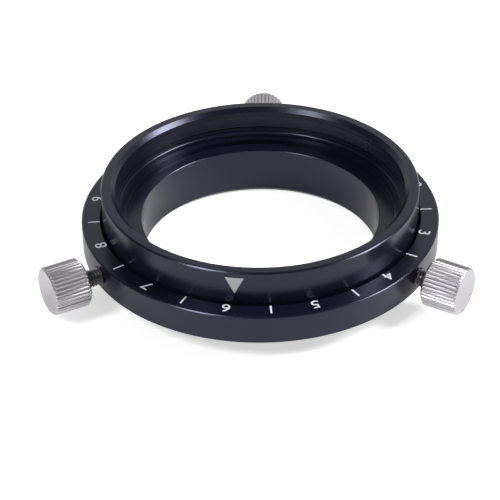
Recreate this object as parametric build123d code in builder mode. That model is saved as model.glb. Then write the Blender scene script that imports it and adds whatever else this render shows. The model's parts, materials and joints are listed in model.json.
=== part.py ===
"""Optical rotation mount: a numbered base ring carries an index ring that turns in its pocket.

Three thumbscrews press padded tips into a V-groove in the index ring and lock the angle.
All lengths are in millimetres. +Z is the optical axis and points out of the index ring.
The origin is on that axis, in the plane of the base ring's bottom shoulder.
"""

import os
from math import cos, radians, sin, sqrt

from build123d import *

os.makedirs("parts", exist_ok=True)

# Fits between pieces that move on each other, and the gap left where they only pass by
RUNNING_CLEARANCE = 0.05
PASSING_CLEARANCE = 0.35

# The camera-side and telescope-side threads: M48 x 0.75
THREAD_DIAMETER = 48.0
THREAD_PITCH = 0.75
PITCH_LINE_DEPTH = 0.325  # pitch line below the crest, as a share of the thread pitch

# Index ring with the female thread
MOUTH_CLEARANCE = 0.15  # smooth mouth wall outside the thread's nominal radius
MOUTH_WALL = 2.35
MOUTH_LEAD_IN = 0.6
MOUTH_DEPTH = 4.5  # rim to the stop shoulder
STOP_WIDTH = 0.55
STOP_DEPTH = 0.9
COLLAR_DIAMETER = THREAD_DIAMETER + 2 * (MOUTH_CLEARANCE + MOUTH_WALL)
COLLAR_RISE = 5.85  # rim above the scale face
RIM_CHAMFER = 0.3
GROOVE_DEPTH = 0.8

# Base ring with the scale on its top face
POCKET_WALL = 3.15
RING_DIAMETER = COLLAR_DIAMETER + 2 * (PASSING_CLEARANCE + POCKET_WALL)
RING_HEIGHT = 5.0
RING_CHAMFER = 0.2
FLOOR_THICKNESS = 0.8
SPIGOT_WALL = 4.0
APERTURE_DIAMETER = THREAD_DIAMETER - 2 * SPIGOT_WALL
APERTURE_TOP_CHAMFER = 0.2
APERTURE_LEAD_IN = 0.8
SLEEVE_WALL = 2.45
SLEEVE_DROP = 0.4  # sleeve end below the scale face
SPIGOT_LENGTH = 4.0
SPIGOT_CHAMFER = 0.4

# Thumbscrews, M3 x 0.5
SCREW_COUNT = 3
FIRST_SCREW_AZIMUTH = 88.4  # degrees, from +X towards +Y
SCREW_HEIGHT = 2.1
SCREW_DIAMETER = 3.0
SCREW_THREAD_DEPTH = 0.2
HOLE_MOUTH_CHAMFER = 0.2
HEAD_DIAMETER = 8.0
HEAD_LENGTH = 6.2
HEAD_STANDOFF = 2.0  # underside of the head to the base ring, screw fully home
HEAD_FACE_CHAMFER = 0.3
HEAD_BACK_CHAMFER = 0.4
KNURL_COUNT = 36
KNURL_DEPTH = 0.25
BACKED_OUT = {"rear": 0.4, "left": 0.9, "right": 0.0}

# Soft pads that turn freely on the screw tips
PAD_DIAMETER = 2.2
PAD_BODY_LENGTH = 0.5
PAD_NOSE_RADIUS = 0.25
STEM_DIAMETER = 1.1
STEM_LENGTH = 1.0

# Base ring, worked out
ring_radius = RING_DIAMETER / 2
aperture_radius = APERTURE_DIAMETER / 2
sleeve_radius = aperture_radius + SLEEVE_WALL
sleeve_top = RING_HEIGHT - SLEEVE_DROP
pocket_radius = COLLAR_DIAMETER / 2 + PASSING_CLEARANCE
spigot_radius = THREAD_DIAMETER / 2 - PITCH_LINE_DEPTH * THREAD_PITCH
screw_hole_radius = SCREW_DIAMETER / 2

# Index ring, worked out
collar_radius = COLLAR_DIAMETER / 2
neck_bottom = FLOOR_THICKNESS + RUNNING_CLEARANCE
neck_bore_radius = sleeve_radius + RUNNING_CLEARANCE
rim_height = RING_HEIGHT + COLLAR_RISE
mouth_radius = THREAD_DIAMETER / 2 + MOUTH_CLEARANCE
stop_height = rim_height - MOUTH_DEPTH
stop_radius = mouth_radius - STOP_WIDTH
ledge_height = stop_height - STOP_DEPTH

# Clamping, worked out with a screw fully home: its 45 degree nose is parallel to the groove's flanks
pad_radius = PAD_DIAMETER / 2
pad_apex = collar_radius - GROOVE_DEPTH + RUNNING_CLEARANCE * sqrt(2)
pad_back = pad_apex + pad_radius + PAD_BODY_LENGTH
shank_tip = pad_back + RUNNING_CLEARANCE
head_back = ring_radius + HEAD_STANDOFF
shank_length = head_back - shank_tip
shank_radius = screw_hole_radius - SCREW_THREAD_DEPTH
stem_hole_radius = STEM_DIAMETER / 2 + RUNNING_CLEARANCE
stem_hole_depth = STEM_LENGTH + RUNNING_CLEARANCE


def turned_edges(part, radius, height):
    """Return the full-circle edges of a piece turned about Z, at one radius and one height."""
    circles = part.edges().filter_by(GeomType.CIRCLE)
    level = circles.filter_by_position(Axis.Z, height - 0.01, height + 0.01)
    return level.filter_by(lambda edge: abs(edge.radius - radius) < 0.01)


def screw_plane(azimuth, distance):
    """Return the plane square to a screw's axis, facing outwards, at a distance from the optical axis."""
    outward = Vector(cos(radians(azimuth)), sin(radians(azimuth)), 0)
    centre = outward * distance + Vector(0, 0, SCREW_HEIGHT)
    return Plane(origin=centre, x_dir=(0, 0, 1), z_dir=outward)


screw_azimuths = {
    name: FIRST_SCREW_AZIMUTH + index * 360 / SCREW_COUNT for index, name in enumerate(BACKED_OUT)
}

# Base ring: rim, pocket floor and sleeve in one turned section, with the male thread below
with BuildPart() as scale_ring:
    with BuildSketch(Plane.XZ):
        with BuildLine():
            Polyline(
                (aperture_radius, sleeve_top),
                (sleeve_radius, sleeve_top),
                (sleeve_radius, FLOOR_THICKNESS),
                (pocket_radius, FLOOR_THICKNESS),
                (pocket_radius, RING_HEIGHT),
                (ring_radius, RING_HEIGHT),
                (ring_radius, 0),
                (spigot_radius, 0),
                (spigot_radius, -SPIGOT_LENGTH),
                (aperture_radius, -SPIGOT_LENGTH),
                close=True,
            )
        make_face()
    revolve(axis=Axis.Z)
    chamfer(turned_edges(scale_ring, ring_radius, RING_HEIGHT), RING_CHAMFER)
    chamfer(turned_edges(scale_ring, pocket_radius, RING_HEIGHT), RING_CHAMFER)
    chamfer(turned_edges(scale_ring, ring_radius, 0), RING_CHAMFER)
    chamfer(turned_edges(scale_ring, aperture_radius, sleeve_top), APERTURE_TOP_CHAMFER)
    chamfer(turned_edges(scale_ring, aperture_radius, -SPIGOT_LENGTH), APERTURE_LEAD_IN)
    chamfer(turned_edges(scale_ring, spigot_radius, -SPIGOT_LENGTH), SPIGOT_CHAMFER)

    # Tapped holes from the rim into the pocket
    with Locations(*[screw_plane(azimuth, ring_radius) for azimuth in screw_azimuths.values()]):
        CounterSinkHole(
            radius=screw_hole_radius,
            counter_sink_radius=screw_hole_radius + HOLE_MOUTH_CHAMFER,
            depth=POCKET_WALL + PASSING_CLEARANCE,
            counter_sink_angle=90,
        )

# Index ring: a collar with the female thread above the scale, a grooved neck in the pocket below it
with BuildPart() as index_ring:
    with BuildSketch(Plane.XZ):
        with BuildLine():
            Polyline(
                (neck_bore_radius, neck_bottom),
                (collar_radius, neck_bottom),
                (collar_radius, rim_height),
                (mouth_radius, rim_height),
                (mouth_radius, stop_height),
                (stop_radius, stop_height),
                (stop_radius, ledge_height),
                (neck_bore_radius, ledge_height),
                close=True,
            )
        make_face()
    revolve(axis=Axis.Z)
    chamfer(turned_edges(index_ring, collar_radius, rim_height), RIM_CHAMFER)
    chamfer(turned_edges(index_ring, mouth_radius, rim_height), MOUTH_LEAD_IN)

    # V-groove that the pads press into
    with BuildSketch(Plane.XZ):
        with Locations((collar_radius, SCREW_HEIGHT)):
            Rectangle(GROOVE_DEPTH * sqrt(2), GROOVE_DEPTH * sqrt(2), rotation=45)
    revolve(axis=Axis.Z, mode=Mode.SUBTRACT)

# Thumbscrew along +Z with the underside of its head at Z = 0
with BuildPart() as thumbscrew:
    with BuildSketch(Plane.XZ):
        with BuildLine():
            Polyline(
                (stem_hole_radius, -shank_length),
                (shank_radius, -shank_length),
                (shank_radius, 0),
                (HEAD_DIAMETER / 2, 0),
                (HEAD_DIAMETER / 2, HEAD_LENGTH),
                (0, HEAD_LENGTH),
                (0, stem_hole_depth - shank_length),
                (stem_hole_radius, stem_hole_depth - shank_length),
                close=True,
            )
        make_face()
    revolve(axis=Axis.Z)
    chamfer(turned_edges(thumbscrew, HEAD_DIAMETER / 2, HEAD_LENGTH), HEAD_FACE_CHAMFER)
    chamfer(turned_edges(thumbscrew, HEAD_DIAMETER / 2, 0), HEAD_BACK_CHAMFER)

    # Straight knurl: right-angled flutes rolled along the head between its two chamfers
    with BuildSketch(Plane.XY.offset(HEAD_BACK_CHAMFER)):
        with PolarLocations(HEAD_DIAMETER / 2, KNURL_COUNT):
            Rectangle(KNURL_DEPTH * sqrt(2), KNURL_DEPTH * sqrt(2), rotation=45)
    extrude(amount=HEAD_LENGTH - HEAD_BACK_CHAMFER - HEAD_FACE_CHAMFER, mode=Mode.SUBTRACT)

# Pad along +Z with the apex of its cone at Z = 0; the nose is cut flat
with BuildPart() as clamp_pad:
    with BuildSketch(Plane.XZ):
        with BuildLine():
            Polyline(
                (0, PAD_NOSE_RADIUS),
                (PAD_NOSE_RADIUS, PAD_NOSE_RADIUS),
                (pad_radius, pad_radius),
                (pad_radius, pad_radius + PAD_BODY_LENGTH),
                (STEM_DIAMETER / 2, pad_radius + PAD_BODY_LENGTH),
                (STEM_DIAMETER / 2, pad_radius + PAD_BODY_LENGTH + STEM_LENGTH),
                (0, pad_radius + PAD_BODY_LENGTH + STEM_LENGTH),
                close=True,
            )
        make_face()
    revolve(axis=Axis.Z)

for name, ring in (("scale_ring", scale_ring), ("index_ring", index_ring)):
    ring.part.label = name
    export_step(ring.part, f"parts/{name}.step")

for name, azimuth in screw_azimuths.items():
    head_plane = screw_plane(azimuth, head_back + BACKED_OUT[name])
    pad_plane = screw_plane(azimuth, pad_apex + BACKED_OUT[name])
    for kind, plane, piece in (("thumbscrew", head_plane, thumbscrew), ("clamp_pad", pad_plane, clamp_pad)):
        placed = plane.location * piece.part
        placed.label = f"{name}_{kind}"
        export_step(placed, f"parts/{name}_{kind}.step")
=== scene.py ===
"""Dresses the optical rotation mount.

Two anodised rings, three knurled thumbscrews, the scale and the index mark.
"""

import json
from math import cos, pi, radians, sin, tan

import bmesh
import bpy
from mathutils import Matrix, Vector


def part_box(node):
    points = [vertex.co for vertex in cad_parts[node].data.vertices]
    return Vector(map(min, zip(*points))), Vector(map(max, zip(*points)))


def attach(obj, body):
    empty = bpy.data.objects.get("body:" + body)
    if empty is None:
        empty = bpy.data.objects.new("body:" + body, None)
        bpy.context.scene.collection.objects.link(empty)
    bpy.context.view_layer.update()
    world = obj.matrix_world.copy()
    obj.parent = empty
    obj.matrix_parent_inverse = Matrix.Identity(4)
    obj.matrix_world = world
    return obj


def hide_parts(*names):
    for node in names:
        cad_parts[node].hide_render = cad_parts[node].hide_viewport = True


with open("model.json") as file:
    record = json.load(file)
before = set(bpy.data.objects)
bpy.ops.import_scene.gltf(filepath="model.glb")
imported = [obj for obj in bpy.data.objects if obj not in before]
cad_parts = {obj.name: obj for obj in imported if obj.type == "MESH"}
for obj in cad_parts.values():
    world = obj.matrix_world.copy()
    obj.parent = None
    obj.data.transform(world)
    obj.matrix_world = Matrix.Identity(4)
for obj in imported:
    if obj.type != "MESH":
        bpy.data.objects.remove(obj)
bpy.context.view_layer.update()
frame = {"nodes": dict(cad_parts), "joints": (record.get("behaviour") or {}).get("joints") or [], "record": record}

MM = 0.001

# ---- Sizes read from the frame, in metres ----

ring_low, ring_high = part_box("scale_ring")
collar_low, collar_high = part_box("index_ring")
ring_radius = ring_high.y
scale_face = ring_high.z
ground = ring_low.z
collar_radius = collar_high.y
rim_height = collar_high.z
mounts = {mount["name"]: mount for mount in frame["record"]["mounts"]}
aperture_radius = mounts["clear_aperture"]["dims"]["r_mm"] * MM
mouth_radius = mounts["female_thread"]["dims"]["r_mm"] * MM
screw_joints = {
    joint["child"]: joint for joint in frame["joints"] if joint["name"].endswith("_screw_turn")
}

# ---- Sizes of the turned sections, in metres ----

BROKEN_EDGE = 0.04 * MM
KEEN_EDGE = 0.01 * MM  # corners left as the tool cut them
EDGE_STEPS = 4
RING_STEPS = 288

RING_CHAMFER = 0.15 * MM
FLOOR_THICKNESS = 0.8 * MM
POCKET_GAP = 0.35 * MM
SLEEVE_WALL = 2.45 * MM
SLEEVE_DROP = 0.4 * MM
APERTURE_TOP_CHAMFER = 0.08 * MM
APERTURE_LEAD_IN = 0.8 * MM
SPIGOT_CHAMFER = 0.4 * MM
HOLE_RADIUS = 1.5 * MM
HOLE_MOUTH_CHAMFER = 0.2 * MM
HOLE_STEPS = 48  # flats round the hole

RIM_CHAMFER = 0.18 * MM
RIM_SLOPE = 0.15 * MM  # shallow face between an outer chamfer and the flat top
RIM_SLOPE_DROP = 0.05 * MM
MOUTH_LEAD_IN = 0.7 * MM
MOUTH_DEPTH = 4.5 * MM
UNDERCUT_RISE = 0.6 * MM
UNDERCUT_WIDTH = 0.22 * MM
UNDERCUT_DEPTH = 0.25 * MM
STOP_WIDTH = 0.55 * MM
STOP_DEPTH = 0.9 * MM
STOP_CHAMFER = 0.1 * MM
RUNNING_CLEARANCE = 0.05 * MM
GROOVE_DEPTH = 0.8 * MM

# Male thread M48 x 0.75 on the spigot
SPIGOT_CREST = 24.0 * MM
SPIGOT_ROOT = 23.54 * MM
SPIGOT_PITCH = 0.75 * MM

# Ridge of a thread with a flat crest: rise as a share of its depth, offset in pitches
THREAD_PROFILE = ((0.0, -0.5), (1.0, -0.0625), (1.0, 0.0625), (0.0, 0.5))

# Thumbscrews M3 x 0.5
HEAD_RADIUS = 4.0 * MM
HEAD_LENGTH = 6.2 * MM
HEAD_FACE_CHAMFER = 0.3 * MM
HEAD_BACK_CHAMFER = 0.4 * MM
KNURL_COUNT = 36
KNURL_DEPTH = 0.3 * MM
RIB_STEPS = 12  # facets across one rib
CHAMFER_STEPS = 6  # rows in each end chamfer, so the flutes run out smoothly
FACE_RINGS = (0.97, 0.9)  # inner rings that keep the end face flat in its shading
SHANK_CREST = 1.46 * MM
SHANK_ROOT = 1.2 * MM
SHANK_PITCH = 0.5 * MM
SHANK_TIP_CHAMFER = 0.1 * MM
SHANK_STEPS = 48  # flats round the core
SHANK_THREAD_STEPS = 36  # facets in one turn of the thread
STEM_HOLE_RADIUS = 0.6 * MM  # in the screw's tip, for the pad's stem
STEM_HOLE_DEPTH = 1.05 * MM

# Scale and index mark
DIVISIONS = 12
SIX_AZIMUTH = -101.7
FRONT_PITCH = 29.0  # degrees from numeral to numeral across the front; the back shares the rest
FRONT_STEPS = 3.5  # how far the front reaches to each side of the 6, in numerals
MARK_RADIUS = 27.95 * MM
NUMERAL_HEIGHT = 2.0 * MM
NUMERAL_STRETCH = 1.12  # wide engraving letters
NUMERAL_WEIGHT = 0.01 * MM  # thickens each stroke
NUMERAL_SPACING = 0.95
DIGIT_SHARE = 0.729  # height of a digit as a share of the type size
TICK_LENGTH = 1.95 * MM
TICK_WIDTH = 0.28 * MM
FILL_THICKNESS = 0.02 * MM
INDEX_AZIMUTH = -99.3
INDEX_WIDTH = 3.0 * MM
INDEX_HEIGHT = 2.95 * MM
INDEX_TOP = 9.85 * MM
INDEX_ROWS = 12
MERGE_DISTANCE = 0.001 * MM  # joins the points that meet at the apex

# ---- Materials ----


def srgb(text):
    """Turn an sRGB hex colour into linear RGBA."""
    channels = [int(text[place : place + 2], 16) / 255 for place in (1, 3, 5)]
    linear = [c / 12.92 if c <= 0.04045 else ((c + 0.055) / 1.055) ** 2.4 for c in channels]
    return (*linear, 1.0)


def add_node(tree, kind, inputs=None, **settings):
    """Add a node with its settings; each input is a value or another node's output."""
    node = tree.nodes.new(kind)
    for name, value in settings.items():
        setattr(node, name, value)
    for socket, value in (inputs or {}).items():
        if isinstance(value, bpy.types.NodeSocket):
            tree.links.new(value, node.inputs[socket])
        else:
            node.inputs[socket].default_value = value
    return node


def new_material(name):
    """Make an empty node material and return it with its tree."""
    material = bpy.data.materials.new(name)
    material.use_nodes = True
    material.node_tree.nodes.clear()
    return material, material.node_tree


def lathe_coordinates(tree):
    """Coordinates for marks left by turning: distance from the Z axis and height."""
    place = add_node(tree, "ShaderNodeTexCoord").outputs["Object"]
    split = add_node(tree, "ShaderNodeSeparateXYZ", {0: place})
    flat = add_node(tree, "ShaderNodeCombineXYZ", {0: split.outputs[0], 1: split.outputs[1]})
    radius = add_node(tree, "ShaderNodeVectorMath", {0: flat.outputs[0]}, operation="LENGTH")
    return add_node(
        tree, "ShaderNodeCombineXYZ", {0: radius.outputs["Value"], 1: split.outputs[2]}
    ).outputs[0]


def anodised_aluminium(name, dark, light, tool_marks):
    """Black anodised aluminium, turned then dyed: dark glassy skin, blue cast, fine tool rings.

    Deeper tool marks spread a highlight across the rings, as on a wall left from boring.
    """
    material, tree = new_material(name)
    place = add_node(tree, "ShaderNodeTexCoord").outputs["Object"]
    rings = lathe_coordinates(tree)
    # Dye cloudiness a few millimetres across
    cloud = add_node(
        tree, "ShaderNodeTexNoise", {"Vector": place, "Scale": 1 / (4 * MM), "Detail": 3.0}
    )
    colour = add_node(
        tree,
        "ShaderNodeMix",
        {"Factor": cloud.outputs["Fac"], 6: srgb(dark), 7: srgb(light)},
        data_type="RGBA",
    )
    # Tool feed of 0.08 mm
    feed = add_node(
        tree, "ShaderNodeTexNoise", {"Vector": rings, "Scale": 1 / (0.08 * MM), "Detail": 0.0}
    )
    # Etched grain of the anodised skin
    grain = add_node(
        tree, "ShaderNodeTexNoise", {"Vector": place, "Scale": 1 / (0.1 * MM), "Detail": 2.0}
    )
    roughness = add_node(
        tree, "ShaderNodeMapRange", {"Value": feed.outputs["Fac"], 3: 0.2, 4: 0.28}
    )
    ring_bump = add_node(
        tree,
        "ShaderNodeBump",
        {"Height": feed.outputs["Fac"], "Strength": 1.0, "Distance": tool_marks},
    )
    skin_bump = add_node(
        tree,
        "ShaderNodeBump",
        {
            "Height": grain.outputs["Fac"],
            "Strength": 0.12,
            "Distance": 0.01 * MM,
            "Normal": ring_bump.outputs[0],
        },
    )
    shader = add_node(
        tree,
        "ShaderNodeBsdfPrincipled",
        {
            "Base Color": colour.outputs[2],
            "Roughness": roughness.outputs[0],
            "IOR": 1.48,
            "Specular Tint": srgb("#dfe2ff"),
            "Normal": skin_bump.outputs[0],
        },
    )
    add_node(tree, "ShaderNodeOutputMaterial", {0: shader.outputs[0]})
    return material


def stainless_steel(name, dark, light):
    """Stainless steel, turned and knurled: pale soft gloss with faint streaks along it."""
    material, tree = new_material(name)
    place = add_node(tree, "ShaderNodeTexCoord").outputs["Object"]
    # Streaks 0.4 mm wide and ten times as long, drawn along the screw's axis by the knurling wheel
    drawn = add_node(tree, "ShaderNodeVectorMath", {0: place, 1: (1, 1, 0.1)}, operation="MULTIPLY")
    streak = add_node(
        tree,
        "ShaderNodeTexNoise",
        {"Vector": drawn.outputs[0], "Scale": 1 / (0.4 * MM), "Detail": 1.0},
    )
    colour = add_node(
        tree,
        "ShaderNodeMix",
        {"Factor": streak.outputs["Fac"], 6: srgb(dark), 7: srgb(light)},
        data_type="RGBA",
    )
    roughness = add_node(
        tree, "ShaderNodeMapRange", {"Value": streak.outputs["Fac"], 3: 0.33, 4: 0.38}
    )
    shader = add_node(
        tree,
        "ShaderNodeBsdfPrincipled",
        {
            "Base Color": colour.outputs[2],
            "Metallic": 1.0,
            "Roughness": roughness.outputs[0],
        },
    )
    add_node(tree, "ShaderNodeOutputMaterial", {0: shader.outputs[0]})
    return material


def painted_fill(name, light, dark):
    """Enamel wiped into engraved marks: matt and a little uneven where the fill is thin."""
    material, tree = new_material(name)
    place = add_node(tree, "ShaderNodeTexCoord").outputs["Object"]
    patch = add_node(
        tree, "ShaderNodeTexNoise", {"Vector": place, "Scale": 1 / (0.5 * MM), "Detail": 3.0}
    )
    colour = add_node(
        tree,
        "ShaderNodeMix",
        {"Factor": patch.outputs["Fac"], 6: srgb(light), 7: srgb(dark)},
        data_type="RGBA",
    )
    shader = add_node(
        tree,
        "ShaderNodeBsdfPrincipled",
        {"Base Color": colour.outputs[2], "Roughness": 0.55},
    )
    add_node(tree, "ShaderNodeOutputMaterial", {0: shader.outputs[0]})
    return material


def nylon(name):
    """Natural nylon, turned: milky and softly shining."""
    material, tree = new_material(name)
    place = add_node(tree, "ShaderNodeTexCoord").outputs["Object"]
    haze = add_node(
        tree, "ShaderNodeTexNoise", {"Vector": place, "Scale": 1 / (0.4 * MM), "Detail": 2.0}
    )
    colour = add_node(
        tree,
        "ShaderNodeMix",
        {"Factor": haze.outputs["Fac"], 6: srgb("#e9e5da"), 7: srgb("#ddd8ca")},
        data_type="RGBA",
    )
    shader = add_node(
        tree,
        "ShaderNodeBsdfPrincipled",
        {"Base Color": colour.outputs[2], "Roughness": 0.45, "IOR": 1.53},
    )
    add_node(tree, "ShaderNodeOutputMaterial", {0: shader.outputs[0]})
    return material


base_finish = anodised_aluminium("black_anodised_base", "#111120", "#171727", 0.001 * MM)
collar_finish = anodised_aluminium("black_anodised_collar", "#111120", "#171727", 0.001 * MM)
mouth_finish = anodised_aluminium("black_anodised_bored_wall", "#111120", "#171727", 0.035 * MM)
steel_finish = stainless_steel("turned_stainless_steel", "#c0bdc2", "#c8c5ca")
# Same steel as the heads, with darker colours as painted shade for the shank and its thread, which sit in shadow
# between head and ring
shank_painted_shade_finish = stainless_steel("stainless_steel_painted_shade", "#77747a", "#8b888e")
white_fill = painted_fill("white_engraving_fill", "#f3f6fd", "#dde1ec")
silver_fill = painted_fill("etched_silver_grey", "#c6c6cb", "#b2b2b7")
nylon_finish = nylon("natural_nylon")

# ---- Mesh tools ----


def finished(name, mesh, finish, body, matrix=None):
    """Turn a mesh into a piece with its finish, riding on its body."""
    piece = bpy.data.objects.new(name, mesh)
    bpy.context.scene.collection.objects.link(piece)
    if matrix:
        piece.matrix_world = matrix
    mesh.materials.clear()
    mesh.materials.append(finish)
    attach(piece, body)
    return piece


def broken_edges(outline):
    """Round each corner of a closed outline; a corner is (r, z) or (r, z, radius)."""
    rounded = []
    for index, corner in enumerate(outline):
        radius = corner[2] if len(corner) == 3 else BROKEN_EDGE
        point = Vector(corner[:2])
        before = Vector(outline[index - 1][:2]) - point
        after = Vector(outline[(index + 1) % len(outline)][:2]) - point
        half_angle = before.angle(after) / 2
        reach = min(radius / tan(half_angle), before.length * 0.45, after.length * 0.45)
        start = point + before.normalized() * reach
        end = point + after.normalized() * reach
        for step in range(EDGE_STEPS + 1):
            share = step / EDGE_STEPS
            rounded.append(
                start * (1 - share) ** 2 + point * 2 * share * (1 - share) + end * share**2
            )
    return rounded


def turned(outline, steps=RING_STEPS):
    """Spin a closed outline of (r, z) points into a ring."""
    shape = bmesh.new()
    loops = []
    for step in range(steps):
        angle = 2 * pi * step / steps
        loops.append([shape.verts.new((r * cos(angle), r * sin(angle), z)) for r, z in outline])
    for step, loop in enumerate(loops):
        ahead = loops[(step + 1) % steps]
        for place in range(len(outline)):
            beyond = (place + 1) % len(outline)
            shape.faces.new((loop[place], ahead[place], ahead[beyond], loop[beyond]))
    bmesh.ops.recalc_face_normals(shape, faces=shape.faces)
    mesh = bpy.data.meshes.new("turned")
    shape.to_mesh(mesh)
    shape.free()
    return mesh


def with_modifiers(mesh, setups):
    """Return the mesh after modifiers; each setup is a kind and its settings."""
    holder = bpy.data.objects.new("holder", mesh)
    bpy.context.scene.collection.objects.link(holder)
    for kind, settings in setups:
        modifier = holder.modifiers.new(kind, kind)
        for name, value in settings.items():
            setattr(modifier, name, value)
    graph = bpy.context.evaluated_depsgraph_get()
    result = bpy.data.meshes.new_from_object(holder.evaluated_get(graph))
    bpy.data.objects.remove(holder)
    return result


def smooth(mesh, sharp_angle=40):
    """Shade smooth across the small rounds, with the large faces setting the normals."""
    mesh.shade_smooth()
    mesh.set_sharp_from_angle(angle=radians(sharp_angle))
    return with_modifiers(mesh, [("WEIGHTED_NORMAL", {"keep_sharp": True, "weight": 100})])


def screw_matrix(body, distance):
    """Frame at a distance along a screw's axis: local Z points outwards and local X points up."""
    joint = screw_joints[body]
    outward = Vector(joint["axis"]).normalized()
    up = Vector((0, 0, 1))
    centre = outward * distance + up * joint["pos_m"][2]
    axes = Matrix((up, outward.cross(up), outward)).transposed()
    return Matrix.Translation(centre) @ axes.to_4x4()


# ---- Base ring ----


def hole_plug(depth):
    """Closed plug along Z that cuts one tapped hole, with the chamfer of its mouth at 0."""
    levels = [
        (HOLE_RADIUS, -depth),
        (HOLE_RADIUS, -HOLE_MOUTH_CHAMFER),
        (HOLE_RADIUS + HOLE_MOUTH_CHAMFER * 2, HOLE_MOUTH_CHAMFER),
    ]
    shape = bmesh.new()
    rows = []
    for radius, height in levels:
        angles = [2 * pi * step / HOLE_STEPS for step in range(HOLE_STEPS)]
        rows.append([shape.verts.new((radius * cos(a), radius * sin(a), height)) for a in angles])
    for row, above in zip(rows[:-1], rows[1:]):
        for step in range(HOLE_STEPS):
            ahead = (step + 1) % HOLE_STEPS
            shape.faces.new((row[step], row[ahead], above[ahead], above[step]))
    shape.faces.new(rows[0])
    shape.faces.new(rows[-1])
    bmesh.ops.recalc_face_normals(shape, faces=shape.faces)
    mesh = bpy.data.meshes.new("hole_plug")
    shape.to_mesh(mesh)
    shape.free()
    return mesh


def base_ring():
    """Base ring with pocket, sleeve and spigot, and the mouths of its tapped holes."""
    pocket = collar_radius + POCKET_GAP
    sleeve = aperture_radius + SLEEVE_WALL
    sleeve_top = scale_face - SLEEVE_DROP
    outline = [
        (aperture_radius, ground + APERTURE_LEAD_IN),
        (aperture_radius + APERTURE_LEAD_IN, ground),
        (SPIGOT_ROOT - SPIGOT_CHAMFER, ground),
        (SPIGOT_ROOT, ground + SPIGOT_CHAMFER),
        (SPIGOT_ROOT, 0),
        (ring_radius - RING_CHAMFER, 0),
        (ring_radius, RING_CHAMFER),
        (ring_radius, scale_face - RIM_SLOPE_DROP - RING_CHAMFER),
        (ring_radius - RING_CHAMFER, scale_face - RIM_SLOPE_DROP),
        (ring_radius - RING_CHAMFER - RIM_SLOPE, scale_face),
        (pocket + RING_CHAMFER, scale_face),
        (pocket, scale_face - RING_CHAMFER),
        (pocket, FLOOR_THICKNESS),
        (sleeve, FLOOR_THICKNESS),
        (sleeve, sleeve_top, KEEN_EDGE),
        (aperture_radius + APERTURE_TOP_CHAMFER, sleeve_top, KEEN_EDGE),
        (aperture_radius, sleeve_top - APERTURE_TOP_CHAMFER, KEEN_EDGE),
    ]
    mesh = turned(broken_edges(outline))
    cutters = []
    for body in screw_joints:
        bore = hole_plug(2 * POCKET_GAP + ring_radius - pocket)
        cutter = bpy.data.objects.new("cutter", bore)
        cutter.matrix_world = screw_matrix(body, ring_radius)
        bpy.context.scene.collection.objects.link(cutter)
        cutters.append(cutter)
    cuts = [("BOOLEAN", {"object": cutter, "operation": "DIFFERENCE"}) for cutter in cutters]
    mesh = with_modifiers(mesh, cuts)
    for cutter in cutters:
        bpy.data.objects.remove(cutter)
    piece = finished("base_ring", smooth(mesh), base_finish, "scale_ring")
    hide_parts("scale_ring")


# ---- Index ring ----


def collar_ring():
    """Index ring: collar with smooth thread mouth, undercut and stop, and the grooved neck."""
    stop = rim_height - MOUTH_DEPTH
    undercut = stop + UNDERCUT_RISE
    stop_radius = mouth_radius - STOP_WIDTH
    ledge = stop - STOP_DEPTH
    neck_bore = aperture_radius + SLEEVE_WALL + RUNNING_CLEARANCE
    bottom = collar_low.z
    screw_height = next(iter(screw_joints.values()))["pos_m"][2]
    outline = [
        (neck_bore, bottom),
        (collar_radius, bottom),
        (collar_radius, screw_height - GROOVE_DEPTH),
        (collar_radius - GROOVE_DEPTH, screw_height),
        (collar_radius, screw_height + GROOVE_DEPTH),
        (collar_radius, rim_height - RIM_SLOPE_DROP - RIM_CHAMFER),
        (collar_radius - RIM_CHAMFER, rim_height - RIM_SLOPE_DROP),
        (collar_radius - RIM_CHAMFER - RIM_SLOPE, rim_height),
        (mouth_radius + MOUTH_LEAD_IN, rim_height),
        (mouth_radius, rim_height - MOUTH_LEAD_IN),
        (mouth_radius, undercut + UNDERCUT_WIDTH),
        (mouth_radius + UNDERCUT_DEPTH, undercut + UNDERCUT_WIDTH),
        (mouth_radius + UNDERCUT_DEPTH, undercut),
        (mouth_radius, undercut),
        (mouth_radius, stop),
        (stop_radius + STOP_CHAMFER, stop, KEEN_EDGE),
        (stop_radius, stop - STOP_CHAMFER, KEEN_EDGE),
        (stop_radius, ledge, KEEN_EDGE),
        (neck_bore, ledge, KEEN_EDGE),
    ]
    mesh = smooth(turned(broken_edges(outline)))
    piece = finished("collar_ring", mesh, collar_finish, "index_ring")
    mesh.materials.append(mouth_finish)
    for face in mesh.polygons:
        inside = Vector(face.center[:2]).length < mouth_radius + UNDERCUT_DEPTH
        face.material_index = int(inside and face.center.z > stop)
    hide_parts("index_ring")


# ---- Threads ----


def thread_mesh(root, crest, pitch, bottom, top, steps):
    """A helical ridge between two heights, fading in and out over half a turn at each end."""
    turns = (top - bottom) / pitch
    count = int(turns * steps)
    shape = bmesh.new()
    rows = []
    for step in range(count + 1):
        angle = 2 * pi * step / steps
        height = bottom + pitch * step / steps
        fade = min(1.0, 2 * step / steps, 2 * (count - step) / steps)
        row = []
        for rise, offset in THREAD_PROFILE:
            radius = root + (crest - root) * rise * fade
            level = height + offset * pitch
            row.append(shape.verts.new((radius * cos(angle), radius * sin(angle), level)))
        rows.append(row)
    for row, ahead in zip(rows[:-1], rows[1:]):
        for place in range(len(THREAD_PROFILE) - 1):
            shape.faces.new((row[place], ahead[place], ahead[place + 1], row[place + 1]))
    bmesh.ops.recalc_face_normals(shape, faces=shape.faces)
    mesh = bpy.data.meshes.new("thread")
    shape.to_mesh(mesh)
    shape.free()
    mesh.shade_smooth()
    mesh.set_sharp_from_angle(angle=radians(30))
    return mesh


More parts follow.
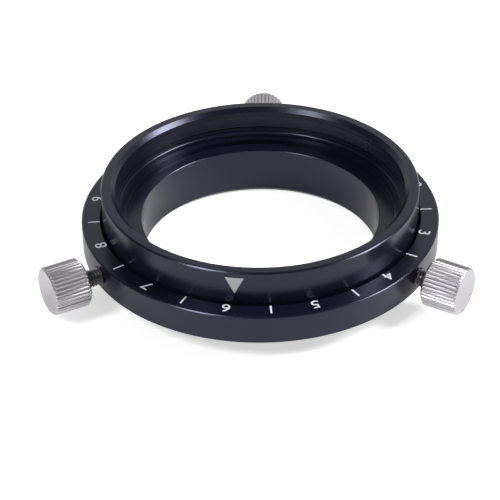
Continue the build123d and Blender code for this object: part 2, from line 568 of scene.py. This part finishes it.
def spigot_thread():
    """Male thread on the spigot, right-handed."""
    margin = SPIGOT_PITCH / 2
    mesh = thread_mesh(
        SPIGOT_ROOT,
        SPIGOT_CREST,
        SPIGOT_PITCH,
        ground + SPIGOT_CHAMFER + margin,
        -margin,
        RING_STEPS // 2,
    )
    finished("spigot_thread", mesh, base_finish, "scale_ring")


# ---- Thumbscrews ----


def knurl_points():
    """Angle and depth of each point round the knurl: rounded ribs that meet in sharp flutes."""
    points = []
    for step in range(KNURL_COUNT * RIB_STEPS):
        share = step / RIB_STEPS
        points.append((2 * pi * share / KNURL_COUNT, KNURL_DEPTH * (1 - abs(cos(pi * share)))))
    return points


def knurled_head():
    """Head along Z from its back face at 0, with flutes that run out in the end chamfers."""
    points = knurl_points()
    steps = len(points)
    levels = []
    for step in range(CHAMFER_STEPS + 1):
        share = step / CHAMFER_STEPS
        levels.append((HEAD_RADIUS - HEAD_BACK_CHAMFER * (1 - share), HEAD_BACK_CHAMFER * share))
    for step in range(CHAMFER_STEPS + 1):
        share = step / CHAMFER_STEPS
        levels.append(
            (HEAD_RADIUS - HEAD_FACE_CHAMFER * share, HEAD_LENGTH - HEAD_FACE_CHAMFER * (1 - share))
        )
    shape = bmesh.new()
    rows = []
    for limit, height in levels:
        row = []
        for angle, depth in points:
            radius = min(limit, HEAD_RADIUS - depth)
            row.append(shape.verts.new((radius * cos(angle), radius * sin(angle), height)))
        rows.append(row)
    for row, above in zip(rows[:-1], rows[1:]):
        for step in range(steps):
            ahead = (step + 1) % steps
            shape.faces.new((row[step], row[ahead], above[ahead], above[step]))
    for row, height in ((rows[0], 0), (rows[-1], HEAD_LENGTH)):
        previous = row
        for share in FACE_RINGS:
            inner = [shape.verts.new((v.co.x * share, v.co.y * share, height)) for v in row]
            for step in range(steps):
                ahead = (step + 1) % steps
                shape.faces.new((previous[step], previous[ahead], inner[ahead], inner[step]))
            previous = inner
        shape.faces.new(previous)
    bmesh.ops.recalc_face_normals(shape, faces=shape.faces)
    mesh = bpy.data.meshes.new("knurled_head")
    shape.to_mesh(mesh)
    shape.free()
    return smooth(mesh, 30)


def thumbscrews():
    """Three thumbscrews, each a knurled head, a plain core and the thread on it."""
    head = knurled_head()
    for body in screw_joints:
        axis = Vector(screw_joints[body]["axis"]).normalized()
        reach = [abs(axis.dot(corner_of(body, pick))) for pick in (min, max)]
        tip, face = reach
        back = face - HEAD_LENGTH
        head_piece = finished(
            f"{body}_head",
            head.copy(),
            steel_finish,
            body,
            screw_matrix(body, back),
        )
        length = back - tip
        core = smooth(
            turned(
                broken_edges(
                    [
                        (STEM_HOLE_RADIUS, 0),
                        (SHANK_ROOT - SHANK_TIP_CHAMFER, 0),
                        (SHANK_ROOT, SHANK_TIP_CHAMFER),
                        (SHANK_ROOT, length),
                        (STEM_HOLE_RADIUS / 2, length),
                        (STEM_HOLE_RADIUS / 2, STEM_HOLE_DEPTH),
                        (STEM_HOLE_RADIUS, STEM_HOLE_DEPTH),
                    ]
                ),
                SHANK_STEPS,
            )
        )
        # Core and thread take the darker steel, painted shade for where the shank lies in shadow
        core_piece = finished(
            f"{body}_core", core, shank_painted_shade_finish, body, screw_matrix(body, tip)
        )
        ridge = thread_mesh(
            SHANK_ROOT,
            SHANK_CREST,
            SHANK_PITCH,
            SHANK_PITCH / 2,
            length - SHANK_PITCH / 2,
            SHANK_THREAD_STEPS,
        )
        finished(
            f"{body}_thread", ridge, shank_painted_shade_finish, body, screw_matrix(body, tip)
        )
        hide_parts(body)


def corner_of(body, pick):
    """Point of a screw's node that lies lowest or highest along its own axis."""
    axis = Vector(screw_joints[body]["axis"]).normalized()
    return pick((vertex.co for vertex in frame["nodes"][body].data.vertices), key=axis.dot)


# ---- Scale and index mark ----


def numeral_mesh(text):
    """One numeral, centred on its own middle, flat in XY with its top towards +Y."""
    curve = bpy.data.curves.new("numeral", "FONT")
    curve.body = text
    curve.size = NUMERAL_HEIGHT / DIGIT_SHARE
    curve.extrude = FILL_THICKNESS / 2
    curve.offset = NUMERAL_WEIGHT
    curve.space_character = NUMERAL_SPACING
    holder = bpy.data.objects.new("numeral", curve)
    bpy.context.scene.collection.objects.link(holder)
    graph = bpy.context.evaluated_depsgraph_get()
    mesh = bpy.data.meshes.new_from_object(holder.evaluated_get(graph))
    bpy.data.objects.remove(holder)
    spots = [vertex.co for vertex in mesh.vertices]
    middle_x = (min(spot.x for spot in spots) + max(spot.x for spot in spots)) / 2
    middle_y = (min(spot.y for spot in spots) + max(spot.y for spot in spots)) / 2
    wider = Matrix.Diagonal((NUMERAL_STRETCH, 1, 1, 1))
    mesh.transform(wider @ Matrix.Translation((-middle_x, -middle_y, 0)))
    return mesh


def mark_azimuth(number):
    """Azimuth in degrees of a numeral; the scale runs clockwise seen from above."""
    steps = (6 - number + DIVISIONS / 2) % DIVISIONS - DIVISIONS / 2
    front = max(-FRONT_STEPS, min(FRONT_STEPS, steps))
    back_pitch = (180 - FRONT_STEPS * FRONT_PITCH) / (DIVISIONS / 2 - FRONT_STEPS)
    return SIX_AZIMUTH + front * FRONT_PITCH + (steps - front) * back_pitch


def scale_marks():
    """Numerals 1 to 12 with their tops outwards, and a tick half way between each pair."""
    for number in range(1, DIVISIONS + 1):
        azimuth = radians(mark_azimuth(number))
        place = Vector((MARK_RADIUS * cos(azimuth), MARK_RADIUS * sin(azimuth), scale_face))
        matrix = Matrix.Translation(place) @ Matrix.Rotation(azimuth - pi / 2, 4, "Z")
        finished(
            f"numeral_{number}",
            numeral_mesh(str(number)),
            white_fill,
            "scale_ring",
            matrix,
        )
    shape = bmesh.new()
    for number in range(1, DIVISIONS + 1):
        azimuth = radians(mark_azimuth(number + 0.5))
        turn = Matrix.Rotation(azimuth, 4, "Z")
        box = Matrix.Diagonal((TICK_LENGTH, TICK_WIDTH, FILL_THICKNESS, 1))
        place = Matrix.Translation((MARK_RADIUS, 0, scale_face))
        bmesh.ops.create_cube(shape, size=1, matrix=turn @ place @ box)
    mesh = bpy.data.meshes.new("ticks")
    shape.to_mesh(mesh)
    shape.free()
    finished("scale_ticks", mesh, white_fill, "scale_ring")


def index_mark():
    """Triangle on the collar wall, apex down, bent to the wall."""
    shape = bmesh.new()
    radius = collar_radius + FILL_THICKNESS / 2
    grid = []
    for row in range(INDEX_ROWS + 1):
        drop = row / INDEX_ROWS
        height = INDEX_TOP - INDEX_HEIGHT * drop
        half = INDEX_WIDTH / 2 * (1 - drop) / radius
        line = []
        for column in range(INDEX_ROWS + 1):
            angle = radians(INDEX_AZIMUTH) + half * (2 * column / INDEX_ROWS - 1)
            line.append(shape.verts.new((radius * cos(angle), radius * sin(angle), height)))
        grid.append(line)
    for upper, lower in zip(grid[:-1], grid[1:]):
        for column in range(INDEX_ROWS):
            shape.faces.new((upper[column], lower[column], lower[column + 1], upper[column + 1]))
    bmesh.ops.remove_doubles(shape, verts=shape.verts, dist=MERGE_DISTANCE)
    mesh = bpy.data.meshes.new("index_mark")
    shape.to_mesh(mesh)
    shape.free()
    mesh.shade_smooth()
    finished("index_mark", mesh, silver_fill, "index_ring")


def clamp_pads():
    """The nylon pads keep their own solids."""
    for name, node in frame["nodes"].items():
        if name.endswith("_clamp_pad"):
            node.data.materials.clear()
            node.data.materials.append(nylon_finish)


base_ring()
collar_ring()
spigot_thread()
thumbscrews()
scale_marks()
index_mark()
clamp_pads()

# ---- Floor, light and camera ----

FLOOR_SIZE = 3.0
FLOOR_SEEN = 0.6  # added light where the camera sees the paper, enough for clean white
FLOOR_MIRRORED = 0.25  # added light where the metal mirrors it
ROOM_LIGHT = (0.1, 0.75)  # darkest overhead, brightest behind and low
LIGHT_SPREAD = (-0.1, 0.5)  # how far towards the bright side each level is reached
BRIGHT_SIDE = (0, 0.82, -0.57)


def white_floor():
    """Seamless white paper under the mount; it keeps a soft contact shadow."""
    shape = bmesh.new()
    bmesh.ops.create_grid(shape, x_segments=1, y_segments=1, size=FLOOR_SIZE)
    mesh = bpy.data.meshes.new("floor")
    shape.to_mesh(mesh)
    shape.free()
    paper = bpy.data.objects.new("floor", mesh)
    paper.location.z = ground
    bpy.context.scene.collection.objects.link(paper)
    material, tree = new_material("white_paper")
    matt = add_node(tree, "ShaderNodeBsdfDiffuse", {"Color": srgb("#f4f4f5")})
    seen = add_node(tree, "ShaderNodeLightPath")
    mirrored = add_node(
        tree,
        "ShaderNodeMath",
        {0: seen.outputs["Is Glossy Ray"], 1: FLOOR_MIRRORED},
        operation="MULTIPLY",
    )
    lift = add_node(
        tree,
        "ShaderNodeMath",
        {0: seen.outputs["Is Camera Ray"], 1: FLOOR_SEEN, 2: mirrored.outputs[0]},
        operation="MULTIPLY_ADD",
    )
    glow = add_node(
        tree, "ShaderNodeEmission", {"Color": (1, 1, 1, 1), "Strength": lift.outputs[0]}
    )
    both = add_node(tree, "ShaderNodeAddShader", {0: matt.outputs[0], 1: glow.outputs[0]})
    add_node(tree, "ShaderNodeOutputMaterial", {0: both.outputs[0]})
    mesh.materials.append(material)


def soft_lamp(name, place, aim, size, watts):
    """Square soft box aimed at a point."""
    lamp = bpy.data.lights.new(name, "AREA")
    lamp.size = size
    lamp.energy = watts
    holder = bpy.data.objects.new(name, lamp)
    holder.location = place
    holder.rotation_euler = (Vector(aim) - Vector(place)).to_track_quat("-Z", "Y").to_euler()
    bpy.context.scene.collection.objects.link(holder)


def studio():
    """White surroundings that dim overhead and in front, with a soft box to each side."""
    world = bpy.data.worlds.new("studio")
    bpy.context.scene.world = world
    world.use_nodes = True
    tree = world.node_tree
    tree.nodes.clear()
    towards = add_node(
        tree,
        "ShaderNodeVectorMath",
        {0: add_node(tree, "ShaderNodeTexCoord").outputs["Generated"], 1: BRIGHT_SIDE},
        operation="DOT_PRODUCT",
    )
    level = add_node(
        tree,
        "ShaderNodeMapRange",
        {
            "Value": towards.outputs["Value"],
            1: LIGHT_SPREAD[0],
            2: LIGHT_SPREAD[1],
            3: ROOM_LIGHT[0],
            4: ROOM_LIGHT[1],
        },
        interpolation_type="SMOOTHSTEP",
    )
    sky = add_node(
        tree, "ShaderNodeBackground", {"Color": (1, 1, 1, 1), "Strength": level.outputs[0]}
    )
    add_node(tree, "ShaderNodeOutputWorld", {0: sky.outputs[0]})
    soft_lamp("right_soft_box", (1.148, -0.06, 0.965), (0, 0, 0), 0.5, 20.0)
    soft_lamp("left_soft_box", (-0.735, -0.685, 1.115), (0, 0, 0), 0.4, 11.0)


CAMERA_FOCAL = 125.5  # millimetres
SENSOR_WIDTH = 36  # millimetres
NEAREST_SEEN = 10 * MM
CAMERA_ELEVATION = 34.66
CAMERA_DISTANCE = 298.1 * MM
CAMERA_ROLL = -0.70
CAMERA_TARGET = Vector((-1.786, 0.049, -3.05)) * MM


def camera():
    """Camera in front of the mount, looking along +Y and down on it."""
    lens = bpy.data.cameras.new("camera")
    lens.lens = CAMERA_FOCAL
    lens.sensor_width = SENSOR_WIDTH
    lens.clip_start = NEAREST_SEEN
    eye = bpy.data.objects.new("camera", lens)
    elevation = radians(CAMERA_ELEVATION)
    back = Vector((0, -cos(elevation), sin(elevation)))
    right = Vector((1, 0, 0))
    axes = Matrix((right, back.cross(right), back)).transposed().to_4x4()
    eye.matrix_world = (
        Matrix.Translation(CAMERA_TARGET + back * CAMERA_DISTANCE)
        @ axes
        @ Matrix.Rotation(radians(CAMERA_ROLL), 4, "Z")
    )
    bpy.context.scene.collection.objects.link(eye)
    bpy.context.scene.camera = eye


white_floor()
studio()
camera()
bpy.context.scene.view_settings.view_transform = "Standard"
